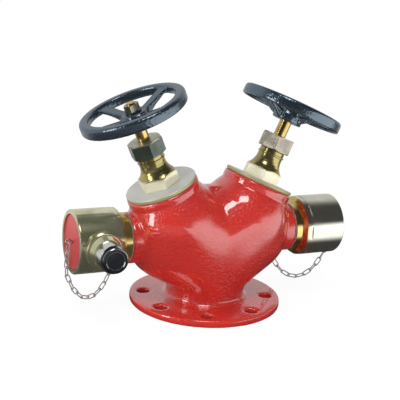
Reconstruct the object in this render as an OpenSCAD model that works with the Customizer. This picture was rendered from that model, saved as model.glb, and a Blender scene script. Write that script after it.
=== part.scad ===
// Twin outlet landing valve for a fire main: one flanged inlet, two screw-down
// valves with handwheels, and two female instantaneous couplings with blank caps
// on chains. Millimetres. The origin is the centre of the inlet flange's bottom
// face, +Z is up the riser and +X runs along the outlets. The right half is built
// on +X, and the left half is the same half turned 180 degrees about Z.

/* [Layout] */
// Angle of each valve spindle from the vertical
valve_tilt = 23.5; // [22:0.5:25]
// Distance up a spindle axis from the inlet centre to the top of the body's rim
rim_reach = 191; // [188:1:196]
// Distance up a spindle axis from the inlet centre to the valve seat
seat_reach = 95; // [93:1:98]
// Height of the outlet axis above the inlet face
outlet_h = 105; // [102:1:108]
// Distance from the centre to the end face of each body outlet
outlet_reach = 127; // [124:1:134]

/* [Inlet flange] */
// Diameter of the inlet flange
flange_d = 220; // [210:1:235]
// Thickness of the inlet flange
flange_t = 11; // [9:0.5:16]
// Distance from the flange's edge to the middle of its bolt holes
bolt_edge = 20; // [17:1:24]
// Number of flange bolt holes
bolt_count = 8; // [4:4:12]
// Diameter of each flange bolt hole
bolt_hole_d = 19; // [14:0.5:22]
// Rounding of the flange's edges
flange_edge_r = 2; // [1:0.5:3]
// Bore of the inlet
inlet_bore_d = 100; // [90:1:104]
// Outside diameter of the inlet neck
neck_d = 114; // [110:1:120]
// Radius where the neck meets the flange
neck_fillet_r = 7; // [4:1:10]

/* [Body casting] */
// Radius of each valve chamber
chamber_r = 67; // [64:1:72]
// Distance from the top of the rim down the spindle axis to the chamber's middle
chamber_drop = 56; // [53:1:60]
// Wall of the casting round each chamber
chamber_wall = 8; // [5:0.5:10]
// Radius of the belly's front and back
belly_r = 60; // [56:1:62]
// Distance that each half of the belly reaches past the centre
belly_cross = 18; // [10:1:30]
// Height of the belly's middle
belly_h = 88; // [84:1:96]
// Radius of the belly's lower flank
flank_r = 58; // [54:1:60]
// Distance from the centre to the middle of the lower flank
flank_x = 64; // [58:1:66]
// Height of the middle of the lower flank
flank_h = 100; // [94:1:104]
// Height where the belly's foot runs into the inlet neck
belly_foot_h = 30; // [26:1:36]
// Thickness of the wall between the two chambers
partition_t = 8; // [6:1:10]
// Diameter of the rim under each bonnet
rim_d = 104; // [100:1:110]
// Height of that rim
rim_h = 11; // [8:1:14]
// Rounding of the rim's edges
rim_edge_r = 2; // [1:0.5:3]
// Height of the top edge of the web between the rims
web_top_h = 185; // [178:1:190]
// Thickness of that web
web_t = 20; // [14:1:26]
// Diameter of the ring at each body outlet
outlet_ring_d = 72; // [68:1:78]
// Length of that ring
outlet_ring_w = 15; // [8:1:18]
// Diameter of the outlet neck behind the ring
outlet_neck_d = 66; // [62:1:68]

/* [Valve seat and disc] */
// Bore of each valve seat
seat_bore_d = 58; // [52:1:60]
// Width of the seat's land
seat_land_w = 4.5; // [3:0.5:5]
// Depth of the seat's wall below the land
seat_wall_t = 12; // [8:1:14]
// Bore of the passage from the inlet to each seat
riser_bore_d = 74; // [70:1:78]
// Thickness of the rubber seat washer
washer_t = 5; // [4:0.5:7]
// Depth of the washer that the disc's lip holds
washer_seat_depth = 3; // [2:0.5:3.5]
// Thickness of the disc above the washer
disc_t = 7; // [5:0.5:9]
// Width of the disc's lip round the washer
disc_lip_w = 2; // [1.5:0.5:2.5]
// Diameter of the disc's hub
hub_d = 34; // [32:1:38]
// Height of the disc's hub
hub_h = 22; // [20:1:26]
// Diameter of the stud below the disc
stud_d = 12; // [10:0.5:14]
// Diameter of the plate under the washer
plate_d = 46; // [40:1:50]
// Thickness of the plate under the washer
plate_t = 4; // [3:0.5:5]
// Height of the nut under the plate
stud_nut_h = 8; // [6:0.5:10]
// Lift of the valve from closed to open
valve_lift = 20; // [14:1:22]

/* [Bonnet] */
// Diameter of the bonnet's flange
bonnet_d = 102; // [98:1:106]
// Thickness of the bonnet's flange
bonnet_t = 4.7; // [4:0.1:7]
// Thickness of the gasket under the bonnet
gasket_t = 0.8; // [0.5:0.1:1.5]
// Diameter of the bonnet's screwed spigot
spigot_d = 88; // [84:1:90]
// Length of that spigot
spigot_h = 18; // [14:1:20]
// Size across the flats of the bonnet's hexagon
bonnet_hex_af = 50; // [46:1:54]
// Height of the bonnet's hexagon at its corners
bonnet_hex_h = 14; // [12:1:18]
// Height over which the hexagon flares in to the neck
flare_h = 20; // [14:1:22]
// Turn of the left bonnet's hexagon about its axis
left_bonnet_turn = 26; // [0:1:59]
// Turn of the right bonnet's hexagon about its axis
right_bonnet_turn = 8; // [0:1:59]
// Diameter of the bonnet's neck
bonnet_neck_d = 37; // [36:0.5:40]
// Height of the bonnet's neck above its flange
bonnet_neck_h = 46; // [44:1:50]
// Diameter of the bead round the neck
bead_d = 39.5; // [39:0.5:43]
// Height of that bead above the flange
bead_h = 39; // [36:1:41]

/* [Gland] */
// Diameter of the thread that carries the gland nut
gland_thread_d = 33; // [31:0.5:34]
// Length of that thread
gland_thread_h = 14; // [12:1:15]
// Bore of the stuffing box
stuffing_bore_d = 26; // [25:0.5:27]
// Depth of the stuffing box
stuffing_depth = 24; // [20:1:26]
// Height of the packing
packing_h = 12; // [9:1:14]
// Thickness of the follower's flange
follower_flange_t = 2; // [1.5:0.5:3]
// Size across the flats of the gland nut
gland_nut_af = 45; // [42:1:48]
// Height of the gland nut
gland_nut_h = 22; // [21:1:26]
// Turn of the left gland nut about its axis
left_nut_turn = 23; // [0:1:59]
// Turn of the right gland nut about its axis
right_nut_turn = 3; // [0:1:59]

/* [Spindle] */
// Diameter of the spindle where it shows
spindle_d = 18; // [16:0.5:19]
// Diameter of the spindle's screw
screw_d = 22; // [21:0.5:24]
// Length of plain spindle above the gland nut at rest
spindle_show_h = 23; // [22:1:30]
// Diameter of the button in the disc's hub
button_d = 22; // [20:0.5:23]
// Height of that button
button_h = 9.7; // [8:0.1:11]
// Diameter of the stem between button and screw
stem_d = 16; // [14:0.5:17]
// Size across the flats of the square under the wheel
square_af = 12.6; // [11:0.2:13]
// Diameter of the stud that carries the wheel nut
wheel_stud_d = 12; // [10:0.5:12]
// Size across the flats of the wheel nut
wheel_nut_af = 19; // [18:0.5:22]
// Height of the wheel nut
wheel_nut_h = 10; // [8:0.5:12]
// Thickness of the washer under the wheel nut
wheel_washer_t = 2; // [1.5:0.5:3]

/* [Handwheel] */
// Outside diameter of the handwheel
wheel_d = 151; // [140:1:165]
// Height of the wheel's rim
wheel_rim_h = 16; // [12:1:18]
// Width of the wheel's rim
wheel_rim_w = 13.5; // [12:0.5:16]
// Height of the rim's inner wall, which stops short of the outer one
wheel_lip_h = 12; // [10:0.5:14]
// Thickness of the rim's walls round its hollow underside
wheel_wall = 4; // [3:0.5:4.5]
// Diameter of the wheel's hub
wheel_hub_d = 44; // [38:1:46]
// Height of the wheel's hub
wheel_hub_h = 19; // [16:0.5:21]
// Height of the rim's bottom above the hub's bottom
wheel_dish_h = 13; // [10:0.5:15]
// Number of spokes
spoke_count = 4; // [3:1:5]
// Width of each spoke at the rim
spoke_w = 17; // [14:0.5:19]
// Thickness of each spoke
spoke_t = 5; // [4:0.5:7]
// Angle of the left wheel's first spoke
left_wheel_turn = 23; // [0:1:119]
// Angle of the right wheel's first spoke
right_wheel_turn = 20; // [0:1:119]

/* [Outlet coupling] */
// Diameter of the coupling's barrel
barrel_d = 89; // [86:1:94]
// Distance from the body outlet to the coupling's mouth
coupling_len = 77; // [74:1:84]
// Diameter of the collar next to the body
collar_d = 72; // [68:1:78]
// Length of that collar
collar_w = 11; // [8:1:14]
// Length of the cone behind the wrench flats
back_cone_w = 4; // [3:0.5:6]
// Number of wrench flats
flat_count = 8; // [6:2:10]
// Size across the wrench flats
flat_af = 86; // [84:0.5:88]
// Length of the wrench flats
flat_w = 8; // [6:1:10]
// Bore of the coupling's socket
socket_d = 77; // [74:1:78]
// Bore of the waterway through the coupling
waterway_d = 55; // [50:1:58]
// Diameter of the shank that screws into the body
shank_d = 62; // [60:0.5:63]
// Length of that shank
shank_len = 20; // [14:1:24]
// Depth of the socket from the mouth to the seal
socket_depth = 44; // [42:1:48]
// Width of the seal
seal_w = 8; // [6:1:10]
// Depth of the seal's groove outside the socket bore
seal_groove = 1.5; // [1:0.5:2]
// Thickness of the gasket between body and coupling
coupling_gasket_t = 1; // [0.5:0.1:2]

/* [Release lug] */
// Distance from the coupling's mouth to the lug's axis
lug_setback = 31.5; // [29:0.5:34]
// Diameter of the lug's foot ring
lug_foot_d = 52; // [48:1:54]
// Height of the foot ring above the coupling's axis
lug_foot_h = 52; // [51:0.5:55]
// Diameter of the lug's nose
lug_nose_d = 40; // [38:1:42]
// Height of the nose above the coupling's axis
lug_nose_h = 69; // [67:0.5:72]
// Bore of the lug's spring chamber
lug_bore_d = 28; // [26:0.5:30]
// Diameter of the plunger's tooth
tooth_d = 16; // [14:0.5:18]
// Reach of the tooth into the socket
tooth_reach = 4.5; // [3.5:0.25:5]
// Diameter of the plunger's collar
plunger_collar_d = 24; // [22:0.5:25]
// Thickness of the plunger's collar
plunger_collar_t = 3; // [2:0.5:4]
// Diameter of the plunger's rod
rod_d = 10; // [8:0.5:11]
// Thickness of the spring's retaining ring
retainer_t = 4; // [3:0.5:5]
// Diameter of the spring's wire
spring_wire_d = 1.4; // [1.2:0.1:1.5]
// Number of turns in the spring
spring_turns = 4; // [3:1:5]
// Diameter of the release sleeve
sleeve_d = 39; // [37:0.5:41]
// Length of the release sleeve
sleeve_len = 18; // [14:0.5:20]
// Diameter of the release cap
cap_knob_d = 35; // [33:0.5:36]
// Length of the release cap beyond the sleeve
cap_knob_show = 6; // [5:0.5:8]
// Travel of the plunger from locked to released
plunger_travel = 7; // [5:0.5:8]

/* [Blank cap and chain] */
// Recess of the blank cap's face inside the mouth
cap_recess = 2; // [1:0.5:4]
// Thickness of the blank cap's end
cap_end_t = 5; // [4:0.5:7]
// Wall of the blank cap's skirt
cap_wall = 4; // [3:0.5:5]
// Depth of the groove that the tooth holds
cap_groove = 5.5; // [5:0.25:6]
// Width of that groove
cap_groove_w = 18; // [17:0.5:20]
// Diameter of the wire of the eyes
eye_wire_d = 2; // [1.8:0.1:2.4]
// Mean diameter of the eyes' rings
eye_ring_d = 7.6; // [7:0.2:9]
// Diameter of the chain's wire
chain_wire_d = 1.7; // [1.5:0.1:2]
// Inside width of a link
link_gap = 4.2; // [4:0.1:5]
// Distance between links along the chain
link_pitch = 12.2; // [11:0.1:13]
// Number of links in each chain
link_count = 17; // [17:1:18]
// Turn of each link against the one before it
link_twist = 97; // [85:1:105]
// Angle below the horizontal of the chain's anchor on the body
anchor_drop = 22; // [10:1:40]
// Distance from the outlet axis to the anchor's ring
anchor_out = 51; // [48:1:56]

/* [Fits] */
// Radial gap of screwed and pushed-in pieces
thread_gap = 0.1; // [0.05:0.05:0.2]
// Radial gap of turning and sliding pieces
running_gap = 0.08; // [0.03:0.01:0.1]
// Gap between neighbouring surfaces that don't touch
clear_gap = 0.4; // [0.3:0.1:0.8]

/* [Hidden] */
$fn = 96;
RIGHT = 1;
LEFT = -1;
SIDES = ["left", "right"];
SIDE_NODES = ["bonnet_gasket", "bonnet", "gland_packing", "gland_follower", "gland_nut",
    "spindle", "handwheel", "wheel_washer", "wheel_nut",
    "valve_disc", "disc_hub_nut", "seat_washer", "washer_plate", "washer_nut",
    "coupling_gasket", "coupling", "coupling_seal",
    "release_plunger", "plunger_spring", "spring_retainer", "release_sleeve",
    "release_nut", "release_cap",
    "blank_cap", "cap_eye", "cap_eye_nut", "chain", "chain_anchor"];

// Levels along a spindle axis, from the inlet centre upwards
seat_gap = 0.2;
washer_base = seat_reach + seat_gap;
disc_base = washer_base + washer_t;
disc_top = disc_base + disc_t;
hub_floor_t = 2;
button_floor = disc_top + hub_floor_t;
hub_nut_base = button_floor + button_h + 4 * running_gap;
hub_top = disc_top + hub_h;
spigot_end = rim_reach + gasket_t - spigot_h;
bonnet_top = rim_reach + gasket_t + bonnet_t;
neck_top = bonnet_top + bonnet_neck_h;
stuffing_top = neck_top + gland_thread_h;
stuffing_base = stuffing_top - stuffing_depth;
guide_h = 12;
screw_bore_top = stuffing_base - guide_h;
screw_top = screw_bore_top - valve_lift - 1;
screw_base = spigot_end - valve_lift;
follower_top = stuffing_top + clear_gap + follower_flange_t;
gland_nut_base = neck_top + clear_gap;
gland_nut_top = gland_nut_base + gland_nut_h;
wheel_base = gland_nut_top + spindle_show_h;
wheel_hub_top = wheel_base + wheel_hub_h;
wheel_nut_base = wheel_hub_top + wheel_washer_t;
stud_show_h = 2;
stud_base = washer_base - plate_t - stud_nut_h - stud_show_h;
disc_hub_nut_head_h = 3;

// Radii of the valve's pieces
land_r = seat_bore_d / 2 + seat_land_w;
washer_r = land_r - 1;
disc_r = washer_r + thread_gap + disc_lip_w;
hub_nut_r = button_d / 2 + 2;
bonnet_corner_r = bonnet_hex_af / 2 / cos(30);
flare_sweep = 60;
stud_nut_af = stud_d * 1.6;

// The body: its bolt circle, the middle of each chamber, the inlet's straight bore, the
// throat that narrows above it, each riser's length and the turn-in under a rim's edge
bolt_circle_d = flange_d - 2 * bolt_edge;
chamber_reach = rim_reach - chamber_drop;
inlet_bore_h = 21;
throat_h = 14;
riser_h = 60;
rim_turn_in = 60;

// Places along an outlet's axis, from the centre outwards
coupling_base = outlet_reach + coupling_gasket_t;
mouth = coupling_base + coupling_len;
barrel_base = coupling_base + collar_w + back_cone_w + flat_w;
socket_end = mouth - socket_depth;
seal_base = socket_end - seal_w;
lug_x = mouth - lug_setback;
cap_face = mouth - cap_recess;
cap_r = socket_d / 2 - thread_gap - 0.15;
cap_groove_r = cap_r - cap_groove;
eye_x = cap_face + eye_ring_d / 2 + eye_wire_d;

// Heights along the lug, from the outlet's axis outwards
lug_floor = barrel_d / 2 + 3;
collar_top = lug_floor + plunger_collar_t;
retainer_base = lug_nose_h - retainer_t;
sleeve_base = lug_nose_h + clear_gap;
sleeve_floor = 3;
release_nut_h = 5;
release_stud_d = rod_d * 0.8;
cap_knob_base = sleeve_base + sleeve_floor + release_nut_h + 2;
sleeve_top = sleeve_base + sleeve_len;

// The chain's two anchors and the point where it leaves the coupling's lip
anchor_x = outlet_reach - outlet_ring_w / 2;
boss_d = 12;
lip_shift = 8;
lip_out = 4;
link_slack = 0.5;
link_hang = eye_ring_d / 2 - (eye_wire_d + link_slack) / 2;

function wheel_turn(side) = side == RIGHT ? right_wheel_turn : left_wheel_turn;
function sinh(x) = (exp(x) - exp(-x)) / 2;
function cosh(x) = (exp(x) + exp(-x)) / 2;
function asinh(x) = ln(x + sqrt(x * x + 1));
function arc(c, r, from, to, steps) =
    [for (i = [0:steps]) let (a = from + (to - from) * i / steps) c + r * [cos(a), sin(a)]];

// Places the children on a spindle's axis, z millimetres up from the inlet centre
module on_spindle(side, z = 0)
    rotate([0, 0, side == RIGHT ? 0 : 180]) rotate([0, valve_tilt, 0]) translate([0, 0, z]) children();

// Turns the children on to an outlet's axis, with z running outwards from the centre
module on_outlet(side, z = 0)
    rotate([0, 0, side == RIGHT ? 0 : 180]) translate([z, 0, outlet_h]) rotate([0, 90, 0]) children();

// Turns the children on to a coupling's lug, with z running outwards from the outlet's axis
module on_lug(side, z = 0)
    rotate([0, 0, side == RIGHT ? 0 : 180]) translate([lug_x, z, outlet_h]) rotate([-90, 0, 0]) children();

module tube(r_out, r_in, h)
    difference() {
        cylinder(r = r_out, h = h);
        translate([0, 0, -1]) cylinder(r = r_in, h = h + 2);
    }

module hex(af, h) cylinder(d = af / cos(30), h = h, $fn = 6);

// A hexagon nut with its corners turned back at the top, and at the foot too if asked
module hex_nut(af, h, bore_r, foot = false) {
    corner_r = af / 2 / cos(30);
    turn = corner_r - af / 2;
    difference() {
        intersection() {
            hex(af, h);
            rotate_extrude() polygon(concat(
                foot ? [[0, 0], [af / 2, 0], [corner_r, turn * 0.6]] : [[0, 0], [corner_r, 0]],
                [[corner_r, h - turn * 0.6], [af / 2, h], [0, h]]));
        }
        translate([0, 0, -1]) cylinder(r = bore_r, h = h + 2);
    }
}

// A ring of round wire standing in the plane of X and Z
module wire_ring(d, wire)
    rotate([90, 0, 0]) rotate_extrude() translate([d / 2, 0]) circle(d = wire, $fn = 32);

// ---- Body casting ----

module flange_profile()
    polygon(concat(
        [[0, 0]],
        arc([flange_d / 2 - flange_edge_r, flange_edge_r], flange_edge_r, -90, 0, 4),
        arc([flange_d / 2 - flange_edge_r, flange_t - flange_edge_r], flange_edge_r, 0, 90, 4),
        arc([neck_d / 2 + neck_fillet_r, flange_t + neck_fillet_r], neck_fillet_r, 270, 180, 6),
        [[neck_d / 2, belly_h / 2], [0, belly_h / 2]]));

// Half of the heart-shaped belly: it rises from the inlet neck, runs smoothly from past
// the centre round the lower flank, out to the outlet's root and up to the chamber
module belly(side)
    hull() {
        translate([-side * belly_cross, 0, belly_h]) sphere(r = belly_r, $fn = 36);
        translate([side * flank_x, 0, flank_h]) sphere(r = flank_r, $fn = 36);
        translate([0, 0, belly_foot_h]) cylinder(d = neck_d - 1, h = 2, $fn = 36);
        on_outlet(side, outlet_reach - outlet_ring_w - 4) cylinder(d = outlet_neck_d, h = 2, $fn = 36);
        on_spindle(side, chamber_reach) sphere(r = chamber_r - 0.5, $fn = 36);
    }

module chamber(side)
    on_spindle(side, chamber_reach) sphere(r = chamber_r);

module rim(side)
    on_spindle(side) rotate_extrude() polygon(concat(
        [[0, rim_reach - rim_h * 2], [rim_d / 2 - 2 * rim_edge_r, rim_reach - rim_h * 2]],
        arc([rim_d / 2 - rim_edge_r, rim_reach - rim_h + rim_edge_r], rim_edge_r, -rim_turn_in, 0, 3),
        arc([rim_d / 2 - rim_edge_r, rim_reach - rim_edge_r], rim_edge_r, 0, 90, 4),
        [[0, rim_reach]]));

// The web fills the notch between the two rims, with its top edge rounded
module web() {
    edge_r = web_t / 3;
    reach = rim_reach * sin(valve_tilt);
    intersection() {
        translate([-reach, 0, 0]) rotate([90, 0, 90]) linear_extrude(2 * reach) union() {
            translate([-web_t / 2, belly_h]) square([web_t, web_top_h - belly_h - edge_r]);
            translate([edge_r - web_t / 2, belly_h]) square([web_t - 2 * edge_r, web_top_h - belly_h]);
            for (end = [-1, 1])
                translate([end * (web_t / 2 - edge_r), web_top_h - edge_r]) circle(edge_r);
        }
        rotate([90, 0, 0]) translate([0, 0, -web_t]) linear_extrude(2 * web_t)
            polygon([[0, 0], [reach, rim_reach * cos(valve_tilt)], [-reach, rim_reach * cos(valve_tilt)]]);
    }
}

module outlet_neck(side)
    on_outlet(side) rotate_extrude() polygon(concat(
        [[0, flank_x], [outlet_neck_d / 2, flank_x], [outlet_neck_d / 2, outlet_reach - outlet_ring_w - 2]],
        [[outlet_ring_d / 2, outlet_reach - outlet_ring_w + 1], [outlet_ring_d / 2, outlet_reach - 1]],
        [[outlet_ring_d / 2 - 1, outlet_reach], [0, outlet_reach]]));

// Places the children on the chain's boss, with z running out from the outlet's axis
module on_boss(side, z)
    translate([side * anchor_x, 0, outlet_h]) rotate([-90 - anchor_drop, 0, 0])
        translate([0, 0, z]) children();

module chain_boss(side)
    on_boss(side, shank_d / 2 + 1) cylinder(d = boss_d, h = anchor_out - shank_d / 2 - eye_ring_d);

// The waterway of one side: up to the seat, round the disc and out to the coupling
module waterway(side) {
    on_spindle(side, seat_reach - seat_wall_t - riser_h) cylinder(d = riser_bore_d, h = riser_h);
    on_spindle(side, seat_reach - seat_wall_t - 1) cylinder(d = seat_bore_d, h = seat_wall_t + 2);
    on_outlet(side, flank_x) cylinder(d = waterway_d + 1, h = outlet_reach);
    on_outlet(side, coupling_base - shank_len - 2) cylinder(d = shank_d + 2 * thread_gap, h = shank_len + 10);
    on_spindle(side, chamber_reach) cylinder(d = spigot_d + 2 * thread_gap, h = rim_reach);
}

module chamber_hollow(side)
    intersection() {
        rotate([0, 0, side == RIGHT ? 0 : 180])
            translate([partition_t / 2, -rim_reach, 0]) cube([rim_reach, 2 * rim_reach, 2 * rim_reach]);
        on_spindle(side) rotate_extrude() intersection() {
            translate([0, seat_reach]) square(rim_reach);
            union() {
                translate([0, chamber_reach]) circle(chamber_r - chamber_wall);
                translate([0, seat_reach]) square([disc_r + 6, chamber_reach - seat_reach]);
            }
        }
    }

module body()
    color("firebrick") difference() {
        union() {
            rotate_extrude() flange_profile();
            web();
            for (side = [LEFT, RIGHT]) {
                belly(side);
                chamber(side);
                rim(side);
                outlet_neck(side);
                chain_boss(side);
            }
        }
        for (i = [0:bolt_count - 1]) rotate([0, 0, (i + 0.5) * 360 / bolt_count])
            translate([bolt_circle_d / 2, 0, -1]) cylinder(d = bolt_hole_d, h = flange_t + 2);
        translate([0, 0, -1]) cylinder(d = inlet_bore_d, h = inlet_bore_h + 1);
        translate([0, 0, inlet_bore_h]) cylinder(d1 = inlet_bore_d, d2 = riser_bore_d, h = throat_h);
        for (side = [LEFT, RIGHT]) {
            waterway(side);
            chamber_hollow(side);
            on_boss(side, shank_d / 2 + 4) cylinder(d = eye_wire_d * 2 + 2 * thread_gap, h = anchor_out);
            // Nothing of the casting stands above a rim or past an outlet's face
            on_spindle(side, rim_reach) cylinder(d = rim_d, h = chamber_r);
            on_outlet(side, outlet_reach) cylinder(d = barrel_d + 2 * clear_gap, h = chamber_r);
        }
    }

// ---- Valve disc ----

module valve_disc(side)
    color("darkgoldenrod") on_spindle(side) difference() {
        union() {
            translate([0, 0, disc_base]) cylinder(r = disc_r, h = disc_t);
            translate([0, 0, disc_base - washer_seat_depth])
                tube(disc_r, washer_r + thread_gap, washer_seat_depth + disc_t / 2);
            translate([0, 0, disc_top]) cylinder(d = hub_d, h = hub_h);
            translate([0, 0, stud_base]) cylinder(d = stud_d, h = disc_base + disc_t / 2 - stud_base);
        }
        translate([0, 0, button_floor])
            cylinder(d = button_d + 2 * running_gap, h = hub_nut_base - button_floor);
        translate([0, 0, hub_nut_base]) cylinder(r = hub_nut_r + thread_gap, h = hub_top);
    }

// The nut that keeps the spindle's button in the disc's hub
module disc_hub_nut(side)
    color("goldenrod") on_spindle(side, hub_nut_base) difference() {
        union() {
            cylinder(r = hub_nut_r, h = hub_top - hub_nut_base);
            translate([0, 0, hub_top - hub_nut_base]) hex(hub_d * 0.8, disc_hub_nut_head_h);
        }
        translate([0, 0, -1]) cylinder(d = stem_d + 6 * running_gap, h = hub_h);
    }

module seat_washer(side)
    color("dimgray") on_spindle(side, washer_base) tube(washer_r, stud_d / 2 + thread_gap, washer_t);

module washer_plate(side)
    color("darkgoldenrod") on_spindle(side, washer_base - plate_t)
        difference() {
            rotate_extrude() polygon([
                [0, 0], [plate_d / 2 - 1.5, 0], [plate_d / 2, 1.5], [plate_d / 2, plate_t],
                [0, plate_t]]);
            translate([0, 0, -1]) cylinder(d = stud_d + 2 * thread_gap, h = plate_t + 2);
        }

module washer_nut(side)
    color("goldenrod") on_spindle(side, washer_base - plate_t - stud_nut_h)
        hex_nut(stud_nut_af, stud_nut_h, stud_d / 2 + thread_gap);

// ---- Bonnet and gland ----

module bonnet_gasket(side)
    color("gray") on_spindle(side, rim_reach)
        tube(bonnet_d / 2 - 1, spigot_d / 2 + 2 * thread_gap, gasket_t);

module bonnet_turned()
    rotate_extrude() polygon(concat(
        [[0, spigot_end], [spigot_d / 2 - 1.5, spigot_end], [spigot_d / 2, spigot_end + 1.5]],
        [[spigot_d / 2, bonnet_top - bonnet_t], [bonnet_d / 2 - 0.8, bonnet_top - bonnet_t]],
        [[bonnet_d / 2, bonnet_top - bonnet_t + 0.8], [bonnet_d / 2, bonnet_top - 0.8]],
        [[bonnet_d / 2 - 0.8, bonnet_top], [bonnet_neck_d / 2, bonnet_top]],
        [[bonnet_neck_d / 2, bonnet_top + bead_h - 1.6], [bead_d / 2, bonnet_top + bead_h - 0.8]],
        [[bead_d / 2, bonnet_top + bead_h + 0.8], [bonnet_neck_d / 2, bonnet_top + bead_h + 1.6]],
        [[bonnet_neck_d / 2, neck_top - 1], [bonnet_neck_d / 2 - 1, neck_top]],
        [[gland_thread_d / 2, neck_top], [gland_thread_d / 2, stuffing_top - 1]],
        [[gland_thread_d / 2 - 1, stuffing_top], [0, stuffing_top]]));

// The hexagon's top flares in to the neck, which leaves an arch on each flat
module bonnet_hex()
    intersection() {
        translate([0, 0, bonnet_top - bonnet_t / 2])
            hex(bonnet_hex_af, bonnet_t / 2 + bonnet_hex_h + flare_h);
        rotate_extrude() polygon(concat(
            [[0, bonnet_top - bonnet_t], [bonnet_corner_r, bonnet_top - bonnet_t]],
            [for (a = [flare_sweep:-10:0]) [
                bonnet_corner_r - (bonnet_corner_r - bonnet_neck_d / 2)
                    * (cos(a) - cos(flare_sweep)) / (1 - cos(flare_sweep)),
                bonnet_top + bonnet_hex_h + flare_h * (1 - sin(a) / sin(flare_sweep))]],
            [[0, bonnet_top + bonnet_hex_h + flare_h]]));
    }

module bonnet(side)
    color("palegoldenrod") on_spindle(side) difference() {
        union() {
            bonnet_turned();
            rotate([0, 0, side == RIGHT ? right_bonnet_turn : left_bonnet_turn]) bonnet_hex();
        }
        translate([0, 0, spigot_end - 1])
            cylinder(d = screw_d + 2 * running_gap, h = screw_bore_top - spigot_end + 1);
        translate([0, 0, screw_bore_top - 1])
            cylinder(d = spindle_d + 2 * running_gap, h = stuffing_base - screw_bore_top + 2);
        translate([0, 0, stuffing_base]) cylinder(d = stuffing_bore_d, h = stuffing_depth + 1);
    }

module gland_packing(side)
    color("dimgray") on_spindle(side, stuffing_base)
        tube(stuffing_bore_d / 2 - thread_gap, spindle_d / 2 + running_gap, packing_h);

module gland_follower(side)
    color("goldenrod") on_spindle(side, stuffing_base + packing_h) difference() {
        union() {
            cylinder(d = stuffing_bore_d - 2 * thread_gap, h = follower_top - stuffing_base - packing_h);
            translate([0, 0, follower_top - stuffing_base - packing_h - follower_flange_t])
                cylinder(d = gland_thread_d - 2, h = follower_flange_t);
        }
        translate([0, 0, -1]) cylinder(d = spindle_d + 2 * running_gap, h = stuffing_depth + 8);
    }

module gland_nut(side)
    color("darkkhaki") on_spindle(side, gland_nut_base) difference() {
        rotate([0, 0, side == RIGHT ? right_nut_turn : left_nut_turn])
            hex_nut(gland_nut_af, gland_nut_h, spindle_d / 2 + 4 * running_gap, foot = true);
        translate([0, 0, -1])
            cylinder(d = gland_thread_d + 2 * thread_gap, h = follower_top - gland_nut_base + 1);
    }

// ---- Spindle and handwheel ----

module spindle(side)
    color("goldenrod") on_spindle(side) union() {
        translate([0, 0, button_floor + 2 * running_gap]) cylinder(d = button_d, h = button_h);
        translate([0, 0, button_floor + button_h / 2])
            cylinder(d = stem_d, h = screw_base - button_floor - button_h / 2 + 1);
        translate([0, 0, screw_base]) cylinder(d = screw_d, h = screw_top - screw_base);
        translate([0, 0, screw_top - 1]) cylinder(d = spindle_d, h = wheel_base - screw_top + 1);
        rotate([0, 0, wheel_turn(side)]) translate([-square_af / 2, -square_af / 2, wheel_base - 1])
            cube([square_af, square_af, wheel_hub_h - 0.5]);
        translate([0, 0, wheel_base])
            cylinder(d = wheel_stud_d, h = wheel_hub_h + wheel_washer_t + wheel_nut_h + 2);
    }

// The rim is a channel that is open underneath
module wheel_rim() {
    lip_base = wheel_rim_h - wheel_lip_h;
    rotate_extrude() translate([wheel_d / 2 - wheel_rim_w, wheel_dish_h]) difference() {
        polygon(concat(
            [[wheel_rim_w - wheel_wall, 0], [wheel_rim_w - 1.5, 0], [wheel_rim_w, 1.5]],
            arc([wheel_rim_w - 4, wheel_rim_h - 4], 4, 0, 90, 4),
            arc([2.5, wheel_rim_h - 2.5], 2.5, 90, 180, 3),
            [[0, lip_base + 0.8], [0.8, lip_base], [wheel_wall, lip_base]]));
        translate([wheel_wall, -1]) square([wheel_rim_w - 2 * wheel_wall, wheel_rim_h - wheel_wall + 1]);
    }
}

// A spoke slopes up from the hub to the rim, over a thinner rib
module wheel_spoke() {
    start = wheel_hub_d / 2 - 3;
    end = wheel_d / 2 - wheel_rim_w + 1;
    low = wheel_hub_h * 0.85;
    high = wheel_dish_h + wheel_rim_h * 0.8;
    rotate([90, 0, 0]) translate([0, 0, -spoke_w * 0.15]) linear_extrude(spoke_w * 0.3)
        polygon([[start, 1], [start + (end - start) * 0.5, (low + high) / 2 - 2 * spoke_t],
            [end, wheel_dish_h + wheel_rim_h - wheel_lip_h + 1], [end, high - 1], [start, low - 1]]);
    intersection() {
        rotate([90, 0, 0]) translate([0, 0, -spoke_w]) linear_extrude(2 * spoke_w)
            polygon([[start, low - spoke_t], [end, high - spoke_t], [end, high], [start, low]]);
        linear_extrude(2 * wheel_rim_h + wheel_dish_h)
            polygon([
                [start, -spoke_w * 0.4], [end, -spoke_w / 2], [end, spoke_w / 2], [start, spoke_w * 0.4]]);
    }
}

module handwheel(side)
    color("darkslategray") on_spindle(side, wheel_base)
        rotate([0, 0, wheel_turn(side)]) difference() {
            union() {
                wheel_rim();
                rotate_extrude() polygon([[0, 0], [wheel_hub_d / 2 - 1, 0], [wheel_hub_d / 2, 1],
                    [wheel_hub_d / 2, wheel_hub_h * 0.6], [wheel_hub_d / 2 - 4, wheel_hub_h],
                    [0, wheel_hub_h]]);
                for (i = [0:spoke_count - 1]) rotate([0, 0, i * 360 / spoke_count]) wheel_spoke();
            }
            translate([0, 0, wheel_hub_h / 2]) cube([square_af, square_af, 2 * wheel_hub_h]
                + 2 * thread_gap * [1, 1, 1], center = true);
        }

module wheel_washer(side)
    color("silver") on_spindle(side, wheel_hub_top)
        tube(wheel_nut_af / 2 + 2, wheel_stud_d / 2 + thread_gap, wheel_washer_t);

module wheel_nut(side)
    color("darkkhaki") on_spindle(side, wheel_nut_base)
        hex_nut(wheel_nut_af, wheel_nut_h, wheel_stud_d / 2 + thread_gap);

// ---- Outlet coupling ----

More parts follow.
